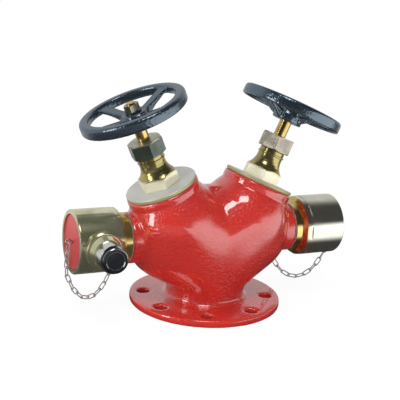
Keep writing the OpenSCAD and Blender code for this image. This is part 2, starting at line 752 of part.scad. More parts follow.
module coupling_gasket(side)
    color("gray") on_outlet(side, outlet_reach)
        tube(collar_d / 2 - 1, shank_d / 2 + thread_gap, coupling_gasket_t);

module coupling_turned()
    rotate_extrude() polygon(concat(
        [[0, coupling_base - shank_len], [shank_d / 2 - 1, coupling_base - shank_len]],
        [[shank_d / 2, coupling_base - shank_len + 1], [shank_d / 2, coupling_base]],
        [[collar_d / 2 - 1, coupling_base], [collar_d / 2, coupling_base + 1]],
        [[collar_d / 2, coupling_base + collar_w - 1], [collar_d / 2 + 1, coupling_base + collar_w]],
        [[barrel_d / 2 - 0.6, coupling_base + collar_w + back_cone_w], [barrel_d / 2, barrel_base]],
        arc([barrel_d / 2 - 1.8, mouth - 1.8], 1.8, 0, 90, 4),
        [[0, mouth]]));

// Wrench flats are cut on the barrel's inner end
module wrench_flats()
    translate([0, 0, coupling_base + collar_w + 0.5]) difference() {
        cylinder(d = 2 * barrel_d, h = back_cone_w + flat_w);
        cylinder(d = flat_af / cos(180 / flat_count), h = back_cone_w + flat_w + 1, $fn = flat_count);
    }

module lug_solid()
    rotate_extrude() polygon([
        [0, socket_d / 2 + 2], [lug_foot_d / 2, socket_d / 2 + 2],
        [lug_foot_d / 2, lug_foot_h - 1.5], [lug_foot_d / 2 - 1.5, lug_foot_h],
        [lug_foot_d / 2 - 3, lug_foot_h], [lug_foot_d / 2 - 3.5, lug_foot_h + 3],
        [lug_nose_d / 2, lug_nose_h - 5], [lug_nose_d / 2, lug_nose_h - 1], [lug_nose_d / 2 - 1, lug_nose_h],
        [0, lug_nose_h]]);

module coupling(side)
    color("palegoldenrod") difference() {
        union() {
            on_outlet(side) difference() {
                coupling_turned();
                rotate([0, 0, 180 / flat_count]) wrench_flats();
            }
            on_lug(side) lug_solid();
        }
        on_outlet(side, coupling_base - shank_len - 1) cylinder(d = waterway_d, h = coupling_len + shank_len);
        on_outlet(side, socket_end) cylinder(d = socket_d, h = socket_depth + 1);
        on_outlet(side, seal_base) cylinder(d = socket_d + 2 * seal_groove, h = seal_w);
        on_lug(side, socket_d / 4) cylinder(d = tooth_d + 2 * running_gap, h = lug_floor);
        on_lug(side, lug_floor) cylinder(d = lug_bore_d, h = lug_nose_h);
    }

module coupling_seal(side)
    color("dimgray") on_outlet(side) rotate_extrude() polygon([
        [waterway_d / 2 + 1, seal_base], [socket_d / 2 + seal_groove - thread_gap, seal_base],
        [socket_d / 2 + seal_groove - thread_gap, socket_end - thread_gap],
        [socket_d / 2 - 3, socket_end], [waterway_d / 2 + 3, socket_end],
        [waterway_d / 2 + 1, socket_end - 3]]);

// ---- Release lug ----

module release_plunger(side)
    color("silver") on_lug(side) rotate_extrude() polygon([
        [0, socket_d / 2 - tooth_reach], [tooth_d / 2 - 1.5, socket_d / 2 - tooth_reach],
        [tooth_d / 2, socket_d / 2 - tooth_reach + 1.5], [tooth_d / 2, lug_floor + thread_gap],
        [plunger_collar_d / 2, lug_floor + thread_gap], [plunger_collar_d / 2, collar_top],
        [rod_d / 2, collar_top], [rod_d / 2, sleeve_base], [release_stud_d / 2, sleeve_base],
        [release_stud_d / 2, cap_knob_base - 1], [0, cap_knob_base - 1]]);

// A close helix of round wire, made by turning its crescent cross-section as it rises
module plunger_spring(side) {
    height = retainer_base - collar_top - 2 * thread_gap;
    pitch = (height - spring_wire_d) / spring_turns;
    coil_r = (lug_bore_d + rod_d) / 4;
    reach = 180 * spring_wire_d / pitch;
    edge = [for (i = [-4:4]) let (a = reach * i / 4)
        [a, sqrt(max(0, pow(spring_wire_d / 2, 2) - pow(pitch * a / 360, 2)))]];
    color("silver") on_lug(side, collar_top + thread_gap + spring_wire_d / 2)
        linear_extrude(height - spring_wire_d, twist = -360 * spring_turns, slices = 16 * spring_turns,
            $fn = 18)
            polygon(concat(
                [for (e = edge) (coil_r + e[1] + 0.05) * [cos(e[0]), sin(e[0])]],
                [for (i = [8:-1:0]) (coil_r - edge[i][1] - 0.05) * [cos(edge[i][0]), sin(edge[i][0])]]));
}

module spring_retainer(side)
    color("goldenrod") on_lug(side, retainer_base)
        tube(lug_bore_d / 2 - thread_gap, rod_d / 2 + running_gap, retainer_t);

module release_sleeve(side)
    color("gainsboro") on_lug(side, sleeve_base) difference() {
        rotate_extrude() polygon([[0, 0], [sleeve_d / 2 - 1, 0], [sleeve_d / 2, 1],
            [sleeve_d / 2, sleeve_len - 1], [sleeve_d / 2 - 0.6, sleeve_len], [0, sleeve_len]]);
        translate([0, 0, -1]) cylinder(d = release_stud_d + 2 * thread_gap, h = sleeve_len);
        translate([0, 0, sleeve_floor]) cylinder(d = cap_knob_d + 2 * thread_gap, h = sleeve_len);
    }

module release_nut(side)
    color("silver") on_lug(side, sleeve_base + sleeve_floor)
        hex_nut(release_stud_d * 1.6, release_nut_h, release_stud_d / 2 + thread_gap);

// The knob's cap has a ring groove and three small bosses on its face
module release_cap(side)
    color("black") on_lug(side, cap_knob_base) {
        depth = sleeve_top + cap_knob_show - cap_knob_base;
        difference() {
            rotate_extrude() polygon(concat(
                [[0, 0], [cap_knob_d / 2 - 0.5, 0], [cap_knob_d / 2, 0.5]],
                arc([cap_knob_d / 2 - 2, depth - 2], 2, 0, 90, 3),
                [[cap_knob_d * 0.38, depth], [cap_knob_d * 0.36, depth - 1.2], [0, depth - 1.2]]));
            translate([0, 0, -1]) cylinder(d = release_stud_d * 1.4, h = 2.5);
        }
        for (a = [90, 210, 330]) rotate([0, 0, a]) translate([cap_knob_d * 0.29, 0, depth - 2])
            cylinder(d = cap_knob_d * 0.07, h = 1.6, $fn = 24);
    }

// ---- Blank cap ----

module blank_cap(side)
    color("firebrick") on_outlet(side) rotate_extrude() polygon([
        [eye_wire_d + thread_gap, cap_face], [cap_r - 1, cap_face], [cap_r, cap_face - 1],
        [cap_r, lug_x + cap_groove_w / 2], [cap_groove_r, lug_x + cap_groove_w / 2],
        [cap_groove_r, lug_x - cap_groove_w / 2], [cap_r, lug_x - cap_groove_w / 2],
        [cap_r, socket_end + 1], [cap_r - 1, socket_end + thread_gap],
        [cap_groove_r - cap_wall, socket_end + thread_gap],
        [cap_groove_r - cap_wall, cap_face - cap_end_t], [eye_wire_d + thread_gap, cap_face - cap_end_t]]);

module cap_eye(side)
    color("silver") on_outlet(side) union() {
        translate([0, 0, cap_face - cap_end_t - 7])
            cylinder(r = eye_wire_d, h = eye_x - eye_ring_d / 2 - cap_face + cap_end_t + 7);
        translate([0, 0, eye_x]) wire_ring(eye_ring_d, eye_wire_d);
    }

module cap_eye_nut(side)
    color("silver") on_outlet(side, cap_face - cap_end_t - 5)
        hex_nut(4 * eye_wire_d, 5, eye_wire_d + thread_gap);

// ---- Chain ----

// The chain hangs straight from the cap's eye to the lip of the coupling, and from
// there on a catenary to the anchor behind the body
function eye_end(side) = [side * eye_x, 0, outlet_h - link_hang];
function lip_end(side) = [side * (mouth + lip_out), lip_shift,
    outlet_h - sqrt(pow(barrel_d / 2, 2) - pow(lip_shift, 2)) - chain_wire_d];
function anchor_end(side) = [side * anchor_x, anchor_out * cos(anchor_drop),
    outlet_h - anchor_out * sin(anchor_drop) - link_hang];

// Half the level width of a catenary with parameter a, less what the chain's length asks for
function slack_of(a, span, spare) = 2 * a * sinh(span / (2 * a)) - spare;
function catenary_of(span, spare, low, high, steps) =
    steps == 0 ? (low + high) / 2 :
    let (mid = (low + high) / 2)
    slack_of(mid, span, spare) > 0 ? catenary_of(span, spare, mid, high, steps - 1)
        : catenary_of(span, spare, low, mid, steps - 1);

// The point a distance along the chain
function chain_point(side, distance) =
    let (
        eye = eye_end(side),
        lip = lip_end(side),
        anchor = anchor_end(side),
        drape = norm(lip - eye),
        free = link_count * link_pitch - drape,
        flat_run = [anchor[0] - lip[0], anchor[1] - lip[1]],
        span = norm(flat_run),
        rise = anchor[2] - lip[2],
        a = catenary_of(span, sqrt(free * free - rise * rise), span / 20, span * 20, 40),
        lowest = (span - a * ln((free + rise) / (free - rise))) / 2,
        s = distance - drape - a * sinh(lowest / a),
        run = lowest + a * asinh(s / a)
    )
    distance < drape ? eye + (lip - eye) * distance / drape
        : [lip[0] + flat_run[0] * run / span, lip[1] + flat_run[1] * run / span,
            lip[2] + a * (cosh((run - lowest) / a) - cosh(lowest / a))];

// One link, standing in the plane of X and Z
module link() {
    bow_d = link_gap + chain_wire_d;
    straight = link_pitch + chain_wire_d + link_slack - bow_d;
    for (side = [-1, 1]) {
        translate([side * bow_d / 2, 0, -straight / 2]) cylinder(d = chain_wire_d, h = straight, $fn = 24);
        translate([0, 0, side * straight / 2]) rotate([side * 90, 0, 0])
            rotate_extrude(angle = 180) translate([bow_d / 2, 0]) circle(d = chain_wire_d, $fn = 24);
    }
}

// Sets the children between two points, with their X turned from the direction across
module between(from, to, across, turn) {
    along = (to - from) / norm(to - from);
    level = across - (across * along) * along;
    x0 = level / norm(level);
    y0 = cross(along, x0);
    x = x0 * cos(turn) + y0 * sin(turn);
    y = y0 * cos(turn) - x0 * sin(turn);
    mid = (from + to) / 2;
    multmatrix([
        [x[0], y[0], along[0], mid[0]],
        [x[1], y[1], along[1], mid[1]],
        [x[2], y[2], along[2], mid[2]],
        [0, 0, 0, 1]]) children();
}

module chain(side) {
    lip = lip_end(side);
    anchor = anchor_end(side);
    across = [anchor[1] - lip[1], lip[0] - anchor[0], 0];
    color("silver") for (i = [0:link_count - 1])
        between(chain_point(side, i * link_pitch), chain_point(side, (i + 1) * link_pitch),
            across, side * i * link_twist) link();
}

module chain_anchor(side)
    color("silver") union() {
        on_boss(side, shank_d / 2 + 5)
            cylinder(r = eye_wire_d, h = anchor_out - shank_d / 2 - 5 - eye_ring_d / 2);
        on_boss(side, anchor_out) rotate([0, 0, 90]) wire_ring(eye_ring_d, eye_wire_d);
    }

body();
for (i = [0, 1]) {
    side = 2 * i - 1;
    name = SIDES[i];
    bonnet_gasket(side);
    bonnet(side);
    gland_packing(side);
    gland_follower(side);
    gland_nut(side);
    spindle(side);
    handwheel(side);
    wheel_washer(side);
    wheel_nut(side);
    valve_disc(side);
    disc_hub_nut(side);
    seat_washer(side);
    washer_plate(side);
    washer_nut(side);
    coupling_gasket(side);
    coupling(side);
    coupling_seal(side);
    release_plunger(side);
    plunger_spring(side);
    spring_retainer(side);
    release_sleeve(side);
    release_nut(side);
    release_cap(side);
    blank_cap(side);
    cap_eye(side);
    cap_eye_nut(side);
    chain(side);
    chain_anchor(side);
}
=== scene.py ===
import math

import bmesh
import bpy
import numpy as np
from mathutils import Matrix, Vector


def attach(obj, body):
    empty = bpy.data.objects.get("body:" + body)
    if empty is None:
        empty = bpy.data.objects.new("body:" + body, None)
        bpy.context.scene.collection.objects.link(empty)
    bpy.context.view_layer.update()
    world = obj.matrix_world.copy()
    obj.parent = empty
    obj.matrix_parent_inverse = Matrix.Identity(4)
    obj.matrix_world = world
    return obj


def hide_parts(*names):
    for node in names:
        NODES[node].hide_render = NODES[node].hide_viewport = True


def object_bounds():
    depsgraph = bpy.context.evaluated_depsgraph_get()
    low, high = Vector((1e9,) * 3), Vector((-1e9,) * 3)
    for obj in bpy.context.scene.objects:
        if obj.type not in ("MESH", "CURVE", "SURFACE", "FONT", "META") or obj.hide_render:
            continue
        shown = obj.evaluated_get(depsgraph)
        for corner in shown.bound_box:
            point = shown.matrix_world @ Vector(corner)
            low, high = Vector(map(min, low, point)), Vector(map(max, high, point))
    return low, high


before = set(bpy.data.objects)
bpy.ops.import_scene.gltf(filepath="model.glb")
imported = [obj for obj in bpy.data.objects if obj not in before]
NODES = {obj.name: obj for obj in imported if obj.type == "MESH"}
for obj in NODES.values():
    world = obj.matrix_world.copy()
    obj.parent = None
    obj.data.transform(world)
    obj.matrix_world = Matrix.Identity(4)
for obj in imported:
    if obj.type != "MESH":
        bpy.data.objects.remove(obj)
cad_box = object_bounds()
SCENE = bpy.context.scene
SCENE.view_settings.view_transform = "Standard"
SIDES = {"left": -1, "right": 1}

# The valve's main sizes, in metres, as the solids have them
TILT = math.radians(23.5)
RIM_REACH = 0.191
RIM_H = 0.011
RIM_R = 0.052
FLANGE_T = 0.011
OUTLET_H = 0.105
OUTLET_REACH = 0.127
OUTLET_RING_W = 0.015
LUG_X = 0.1735
BONNET_TOP = 0.1967
BONNET_HEX_H = 0.014
BARREL_START = 0.146
GLAND_NUT_TOP = 0.2649
KNOB_LIP_R = 0.0130
WEB_FOOT_H = 0.128
WEB_W = 0.016

# ---- Camera ----

CAMERA_SENSOR_W = 36
CAMERA_LENS = 82.254
CAMERA_AZIMUTH = -25.461
CAMERA_ELEVATION = 14.651
CAMERA_ROLL = 3.422
CAMERA_DISTANCE = 1.30364
CAMERA_TARGET = (-0.01581, 0, 0.15307)


def direction(azimuth, elevation):
    """From the valve, at angles in degrees from the front: positive to the right, and up."""
    az, el = math.radians(azimuth), math.radians(elevation)
    return Vector((math.sin(az) * math.cos(el), -math.cos(az) * math.cos(el), math.sin(el)))


def look_from(azimuth, elevation, roll, distance, target):
    back = direction(azimuth, elevation)
    level = Vector((math.cos(math.radians(azimuth)), math.sin(math.radians(azimuth)), 0))
    up = back.cross(level)
    turn = math.radians(roll)
    right = math.cos(turn) * level + math.sin(turn) * up
    top = -math.sin(turn) * level + math.cos(turn) * up
    place = Matrix((right, top, back)).transposed().to_4x4()
    place.translation = Vector(target) + back * distance
    return place


def add_camera():
    data = bpy.data.cameras.new("camera")
    data.sensor_width = CAMERA_SENSOR_W
    data.lens = CAMERA_LENS
    camera = bpy.data.objects.new("camera", data)
    camera.matrix_world = look_from(
        CAMERA_AZIMUTH, CAMERA_ELEVATION, CAMERA_ROLL, CAMERA_DISTANCE, CAMERA_TARGET)
    SCENE.collection.objects.link(camera)
    SCENE.camera = camera


# ---- Small shader steps ----

def math_node(tree, operation, a, b=None):
    node = tree.nodes.new("ShaderNodeMath")
    node.operation = operation
    for socket, value in zip(node.inputs, (a, b)):
        if value is None:
            continue
        if isinstance(value, (int, float)):
            socket.default_value = value
        else:
            tree.links.new(value, socket)
    return node.outputs[0]


def times(tree, a, b):
    return math_node(tree, "MULTIPLY", a, b)


def ramp(tree, value, low, high):
    """0 at low and 1 at high, smooth between them."""
    node = tree.nodes.new("ShaderNodeMapRange")
    node.interpolation_type = "SMOOTHSTEP"
    node.inputs["From Min"].default_value = low
    node.inputs["From Max"].default_value = high
    tree.links.new(value, node.inputs["Value"])
    return node.outputs["Result"]


def band(tree, value, low, high, soft):
    """1 between low and high, with soft edges."""
    rise = ramp(tree, value, low - soft, low + soft)
    fall = ramp(tree, value, high + soft, high - soft)
    return times(tree, rise, fall)


def add_up(tree, base, *parts):
    """base plus each value times its weight."""
    total = base
    for value, weight in parts:
        node = math_node(tree, "MULTIPLY_ADD", value, weight).node
        if isinstance(total, (int, float)):
            node.inputs[2].default_value = total
        else:
            tree.links.new(total, node.inputs[2])
        total = node.outputs[0]
    return total


def axes_of(tree, vector):
    node = tree.nodes.new("ShaderNodeSeparateXYZ")
    tree.links.new(vector, node.inputs[0])
    return [node.outputs[axis] for axis in "XYZ"]


def layered(tree, first, *layers):
    """Each layer's shader covers the ones before it where its share is 1."""
    last = first
    for share, shader in layers:
        mix = tree.nodes.new("ShaderNodeMixShader")
        if isinstance(share, (int, float)):
            mix.inputs[0].default_value = share
        else:
            tree.links.new(share, mix.inputs[0])
        tree.links.new(last, mix.inputs[1])
        tree.links.new(shader, mix.inputs[2])
        last = mix.outputs[0]
    return last


def glow_shader(tree, kind, strength):
    """A white background or emission of one strength, or of a strength that varies."""
    node = tree.nodes.new(kind)
    node.inputs["Color"].default_value = (1, 1, 1, 1)
    if isinstance(strength, (int, float)):
        node.inputs["Strength"].default_value = strength
    else:
        tree.links.new(strength, node.inputs["Strength"])
    return node.outputs[0]


# ---- Studio ----

# The light on paint, and what the camera sees behind the valve
SOFT_LIGHT = 0.74
WHITE = 1.0

# What metal sees all round: a dim studio, a pale backdrop, a light wall low on the right and a
# faint horizon. Each pair says where it starts and where it is full, in parts of a direction.
STUDIO_DARK = 0.03
BACKDROP = {"glow": 0.62, "back": (-0.10, 0.45), "below": (0.98, 0.70)}
LOW_WALL = {"glow": 1.35, "right": (0.22, 0.50), "front": (0.15, -0.25), "below": (0.30, 0.06)}
HORIZON = {"glow": 0.20, "front": (0.10, -0.20), "below": (0.16, 0.02)}

# What metal sees on the floor: dim close to the valve, and light further out and to the right.
# These pairs are in metres.
FLOOR_REACH = 40
FLOOR_DROP = 0.0005
PAPER_TONE = 0.86
PAPER_WHITE = 1.06
PAPER_WHITE_SHARE = 0.86
FLOOR_DARK = 0.04
FAR_FLOOR = {"glow": 0.20, "far": (0.30, 0.75)}
BACK_FLOOR = {"glow": 0.45, "back": (0.10, 0.50)}
RIGHT_FLOOR = {"glow": 1.35, "right": (0.04, 0.15), "far": (0.17, 0.27), "front": (-0.08, -0.17)}

# Azimuth and elevation in degrees, distance, width and height in metres, and radiance
SOFTBOXES = {
    "left_softbox": (-80, 14, 1.6, 0.42, 0.95, 6),
    "overhead_softbox": (-22, 60, 1.4, 0.52, 0.36, 7),
}
SOFTBOX_AIM = (0, 0, 0.12)


def add_world():
    world = bpy.data.worlds.new("studio")
    SCENE.world = world
    world.use_nodes = True
    tree = world.node_tree
    tree.nodes.clear()
    path = tree.nodes.new("ShaderNodeLightPath").outputs
    x, y, z = axes_of(tree, tree.nodes.new("ShaderNodeTexCoord").outputs["Generated"])
    backdrop = times(tree, ramp(tree, y, *BACKDROP["back"]), ramp(tree, z, *BACKDROP["below"]))
    front_right = times(tree, ramp(tree, x, *LOW_WALL["right"]), ramp(tree, y, *LOW_WALL["front"]))
    low_wall = times(tree, front_right, ramp(tree, z, *LOW_WALL["below"]))
    horizon = times(tree, ramp(tree, y, *HORIZON["front"]), ramp(tree, z, *HORIZON["below"]))
    in_metal = add_up(tree, STUDIO_DARK, (backdrop, BACKDROP["glow"]), (low_wall, LOW_WALL["glow"]),
                      (horizon, HORIZON["glow"]))
    glossy = math_node(tree, "MAXIMUM", path["Is Glossy Ray"], path["Is Transmission Ray"])
    kind = "ShaderNodeBackground"
    seen = layered(
        tree, glow_shader(tree, kind, SOFT_LIGHT),
        (glossy, glow_shader(tree, kind, in_metal)),
        (path["Is Camera Ray"], glow_shader(tree, kind, WHITE)))
    tree.links.new(seen, tree.nodes.new("ShaderNodeOutputWorld").inputs["Surface"])


def floor_material():
    material = bpy.data.materials.new("pale_floor")
    material.use_nodes = True
    tree = material.node_tree
    tree.nodes.clear()
    path = tree.nodes.new("ShaderNodeLightPath").outputs
    paper = tree.nodes.new("ShaderNodeBsdfDiffuse")
    paper.inputs["Color"].default_value = (PAPER_TONE, PAPER_TONE, PAPER_TONE, 1)
    kind = "ShaderNodeEmission"
    for_camera = layered(
        tree, paper.outputs[0], (PAPER_WHITE_SHARE, glow_shader(tree, kind, PAPER_WHITE)))

    position = tree.nodes.new("ShaderNodeNewGeometry").outputs["Position"]
    x, y, _ = axes_of(tree, position)
    length = tree.nodes.new("ShaderNodeVectorMath")
    length.operation = "LENGTH"
    tree.links.new(position, length.inputs[0])
    distance = length.outputs["Value"]
    far = ramp(tree, distance, *FAR_FLOOR["far"])
    behind = ramp(tree, y, *BACK_FLOOR["back"])
    right = times(tree, ramp(tree, x, *RIGHT_FLOOR["right"]), ramp(tree, distance, *RIGHT_FLOOR["far"]))
    front_right = times(tree, right, ramp(tree, y, *RIGHT_FLOOR["front"]))
    glow = add_up(tree, FLOOR_DARK, (far, FAR_FLOOR["glow"]), (behind, BACK_FLOOR["glow"]),
                  (front_right, RIGHT_FLOOR["glow"]))
    seen = layered(
        tree, paper.outputs[0],
        (path["Is Glossy Ray"], glow_shader(tree, kind, glow)),
        (path["Is Camera Ray"], for_camera))
    tree.links.new(seen, tree.nodes.new("ShaderNodeOutputMaterial").inputs["Surface"])
    return material


def add_floor():
    mesh = bpy.data.meshes.new("floor")
    corners = [(x * FLOOR_REACH, y * FLOOR_REACH, 0) for x, y in ((-1, -1), (1, -1), (1, 1), (-1, 1))]
    mesh.from_pydata(corners, [], [(0, 1, 2, 3)])
    mesh.materials.append(floor_material())
    floor = bpy.data.objects.new("floor", mesh)
    floor.location.z = -FLOOR_DROP
    SCENE.collection.objects.link(floor)


def add_softbox(name, azimuth, elevation, distance, width, height, radiance):
    data = bpy.data.lights.new(name, "AREA")
    data.shape = "RECTANGLE"
    data.size, data.size_y = width, height
    data.energy = radiance * math.pi * width * height
    lamp = bpy.data.objects.new(name, data)
    out = direction(azimuth, elevation)
    lamp.location = Vector(SOFTBOX_AIM) + out * distance
    lamp.rotation_mode = "QUATERNION"
    lamp.rotation_quaternion = out.to_track_quat("Z", "Y")
    SCENE.collection.objects.link(lamp)


add_camera()
add_world()
add_floor()
for name, setting in SOFTBOXES.items():
    add_softbox(name, *setting)


# ---- Shared effects ----

# Where a noise value starts to count, and where it counts in full
PEBBLE_RANGE = (0.30, 0.72)
CLOUD_RANGE = (0.35, 0.70)
SPECK_RANGE = (0.62, 0.74)
SMEAR_RANGE = (0.32, 0.72)
TURNING_STRETCH = (0.25, 1.0, 1.0)


def effect(name, inputs, outputs, build):
    """A shared effect with named inputs and outputs: build(tree, inputs, outputs) wires it."""
    tree = bpy.data.node_groups.new(name, "ShaderNodeTree")
    for label, value in inputs.items():
        socket = tree.interface.new_socket(label, in_out="INPUT", socket_type="NodeSocketFloat")
        socket.default_value = value
    for label in outputs:
        tree.interface.new_socket(label, in_out="OUTPUT", socket_type="NodeSocketFloat")
    given = tree.nodes.new("NodeGroupInput").outputs
    result = tree.nodes.new("NodeGroupOutput").inputs
    build(tree, given, result)
    return tree


def noise(tree, scale, detail, roughness, stretch=None):
    node = tree.nodes.new("ShaderNodeTexNoise")
    node.inputs["Detail"].default_value = detail
    node.inputs["Roughness"].default_value = roughness
    tree.links.new(scale, node.inputs["Scale"])
    coords = tree.nodes.new("ShaderNodeTexCoord").outputs["Object"]
    if stretch:
        squeeze = tree.nodes.new("ShaderNodeVectorMath")
        squeeze.operation = "MULTIPLY"
        squeeze.inputs[1].default_value = stretch
        tree.links.new(coords, squeeze.inputs[0])
        coords = squeeze.outputs[0]
    tree.links.new(coords, node.inputs["Vector"])
    return node.outputs["Fac"]


def build_cast_skin(tree, given, result):
    """Sand-cast skin under paint: fine pebbles over slow waves."""
    pebble = ramp(tree, noise(tree, given["Pebble Scale"], detail=1.5, roughness=0.45), *PEBBLE_RANGE)
    wave = noise(tree, given["Wave Scale"], detail=2.0, roughness=0.5)
    height = math_node(tree, "MULTIPLY_ADD", wave, given["Wave Height"])
    tree.links.new(times(tree, pebble, given["Pebble Height"]), height.node.inputs[2])
    tree.links.new(height, result["Height"])


def build_patina(tree, given, result):
    """Slow cloudy tone, with fine specks."""
    cloud = noise(tree, given["Cloud Scale"], detail=4.0, roughness=0.6)
    speck = noise(tree, given["Speck Scale"], detail=2.0, roughness=0.5)
    tree.links.new(ramp(tree, cloud, *CLOUD_RANGE), result["Cloud"])
    tree.links.new(ramp(tree, speck, *SPECK_RANGE), result["Speck"])


def build_stations(tree, given, result):
    """How far a point lies up the spindle's line, out from the middle, and from the lug's axis."""
    x, _, z = axes_of(tree, tree.nodes.new("ShaderNodeTexCoord").outputs["Object"])
    out = math_node(tree, "ABSOLUTE", x)
    along = add_up(tree, 0, (out, math.sin(TILT)), (z, math.cos(TILT)))
    wide = math_node(tree, "SUBTRACT", out, LUG_X)
    high = math_node(tree, "SUBTRACT", z, OUTLET_H)
    squares = add_up(tree, 0, (times(tree, wide, wide), 1), (times(tree, high, high), 1))
    tree.links.new(along, result["Along Spindle"])
    tree.links.new(out, result["Out"])
    tree.links.new(math_node(tree, "SQRT", squares), result["From Lug"])


def build_turned(tree, given, result):
    """Faint turning marks and wiping streaks on machined metal."""
    marks = noise(tree, given["Mark Scale"], detail=3.0, roughness=0.65, stretch=TURNING_STRETCH)
    smear = noise(tree, given["Smear Scale"], detail=3.0, roughness=0.55)
    tree.links.new(marks, result["Marks"])
    tree.links.new(ramp(tree, smear, *SMEAR_RANGE), result["Smear"])


CAST_SKIN = effect(
    "cast_skin", {"Pebble Scale": 300, "Wave Scale": 34, "Pebble Height": 1.0, "Wave Height": 0.55},
    ["Height"], build_cast_skin)
PATINA = effect("patina", {"Cloud Scale": 11, "Speck Scale": 620}, ["Cloud", "Speck"], build_patina)
STATIONS = effect("stations", {}, ["Along Spindle", "Out", "From Lug"], build_stations)
TURNED = effect("turned", {"Mark Scale": 700, "Smear Scale": 26}, ["Marks", "Smear"], build_turned)


# ---- Finishes ----

COAT_ROUGH = 0.07
COAT_IOR = 1.9
MARK_DEPTH = 0.00004
MARK_STRENGTH = 0.5
FAINT_MARK_DEPTH = 0.00001


class Finish:
    """A Principled material that takes shared effects into its sockets."""

    def __init__(self, name, color, rough, metallic=0.0, coat=0.0):
        self.material = bpy.data.materials.new(name)
        self.material.use_nodes = True
        self.material.diffuse_color = (*color, 1)
        self.tree = self.material.node_tree
        self.shader = self.tree.nodes["Principled BSDF"]
        self.set("Base Color", (*color, 1))
        self.set("Roughness", rough)
        self.set("Metallic", metallic)
        self.set("Coat Weight", coat)
        self.set("Coat Roughness", COAT_ROUGH)

    def set(self, socket, value):
        self.shader.inputs[socket].default_value = value

    def feed(self, socket, output):
        self.tree.links.new(output, self.shader.inputs[socket])

    def use(self, group, **values):
        node = self.tree.nodes.new("ShaderNodeGroup")
        node.node_tree = group
        for label, value in values.items():
            node.inputs[label.replace("_", " ")].default_value = value
        return node.outputs

    def blend(self, mask, low, high):
        """A colour that goes from low to high with the mask."""
        mix = self.tree.nodes.new("ShaderNodeMix")
        mix.data_type = "RGBA"
        mask_socket, low_socket, high_socket = (mix.inputs[i] for i in (0, 6, 7))
        self.tree.links.new(mask, mask_socket)
        for socket, value in ((low_socket, low), (high_socket, high)):
            if isinstance(value, tuple):
                socket.default_value = (*value, 1)
            else:
                self.tree.links.new(value, socket)
        return mix.outputs[2]

    def spread(self, socket, mask, low, high):
        """A socket that goes from low to high with the mask."""
        node = self.tree.nodes.new("ShaderNodeMapRange")
        node.inputs["To Min"].default_value = low
        node.inputs["To Max"].default_value = high
        self.tree.links.new(mask, node.inputs["Value"])
        self.feed(socket, node.outputs["Result"])

    def bump(self, height, depth, strength=1.0):
        node = self.tree.nodes.new("ShaderNodeBump")
        node.inputs["Distance"].default_value = depth
        node.inputs["Strength"].default_value = strength
        self.tree.links.new(height, node.inputs["Height"])
        self.feed("Normal", node.outputs["Normal"])


def enamel(name, bright, deep, rough, depth, pebble=1.0, coat=1.0, gloss=None):
    """Cloudy paint over a cast skin, under a clear coat or with a gloss of its own."""
    finish = Finish(name, bright, rough, coat=coat)
    if gloss:
        finish.set("IOR", gloss["ior"])
        finish.set("Specular Tint", (*gloss["tint"], 1))
    else:
        finish.set("Coat IOR", COAT_IOR)
    cloud = finish.use(PATINA)["Cloud"]
    finish.feed("Base Color", finish.blend(cloud, bright, deep))
    finish.spread("Roughness", cloud, rough, rough + 0.1)
    finish.bump(finish.use(CAST_SKIN, Pebble_Height=pebble)["Height"], depth)
    return finish.material


def metal(name, color, shade, rough, mark_depth=MARK_DEPTH, smear=0.10, metallic=1.0):
    finish = Finish(name, color, rough, metallic=metallic)
    marks = finish.use(TURNED)
    finish.feed("Base Color", finish.blend(marks["Smear"], color, shade))
    finish.spread("Roughness", marks["Smear"], rough, rough + smear)
    finish.bump(marks["Marks"], mark_depth, MARK_STRENGTH)
    return finish.material


def dull(name, color, shade, rough, grain, depth):
    """Rubber, packing or fibre: no shine, a fine grain."""
    finish = Finish(name, color, rough)
    tone = finish.use(PATINA, Cloud_Scale=40, Speck_Scale=grain)
    finish.feed("Base Color", finish.blend(tone["Cloud"], color, shade))
    finish.spread("Roughness", tone["Speck"], rough, rough + 0.12)
    finish.bump(tone["Speck"], depth)
    return finish.material


def bonnet_brass():
    """Olive at the disc's edge, dull grey on it, near-white cream on the hexagon as brass with a painted
    sheen, golden up the neck.
    """
    disc_clean, disc_wiped = (0.60, 0.61, 0.58), (0.72, 0.70, 0.64)
    edge_olive = (0.50, 0.44, 0.20)
    # The hexagon's near-white cream is brass tone lightened by a painted sheen.
    hex_sheen_cream, hex_wiped = (1.0, 0.96, 0.76), (0.92, 0.84, 0.58)
    neck_gold, neck_dark = (0.54, 0.44, 0.17), (0.30, 0.27, 0.12)
    disc_rough, hex_rough = 0.42, 0.20
    hex_metallic, neck_metallic = 0.35, 0.92
    hex_top = BONNET_TOP + BONNET_HEX_H

    finish = Finish("bonnet_brass", hex_sheen_cream, hex_rough, metallic=hex_metallic)
    marks = finish.use(TURNED)
    smear = marks["Smear"]
    along = finish.use(STATIONS)["Along Spindle"]
    off_edge = ramp(finish.tree, along, BONNET_TOP - 0.0012, BONNET_TOP - 0.0004)
    off_disc = ramp(finish.tree, along, BONNET_TOP, BONNET_TOP + 0.0006)
    up_neck = ramp(finish.tree, along, hex_top - 0.001, hex_top + 0.003)
    disc = finish.blend(off_edge, edge_olive, finish.blend(smear, disc_clean, disc_wiped))
    lower = finish.blend(off_disc, disc, finish.blend(smear, hex_sheen_cream, hex_wiped))
    finish.feed("Base Color", finish.blend(up_neck, lower, finish.blend(smear, neck_gold, neck_dark)))
    finish.spread("Roughness", off_disc, disc_rough, hex_rough)
    finish.spread("Metallic", up_neck, hex_metallic, neck_metallic)
    finish.bump(marks["Marks"], MARK_DEPTH, MARK_STRENGTH)
    return finish.material


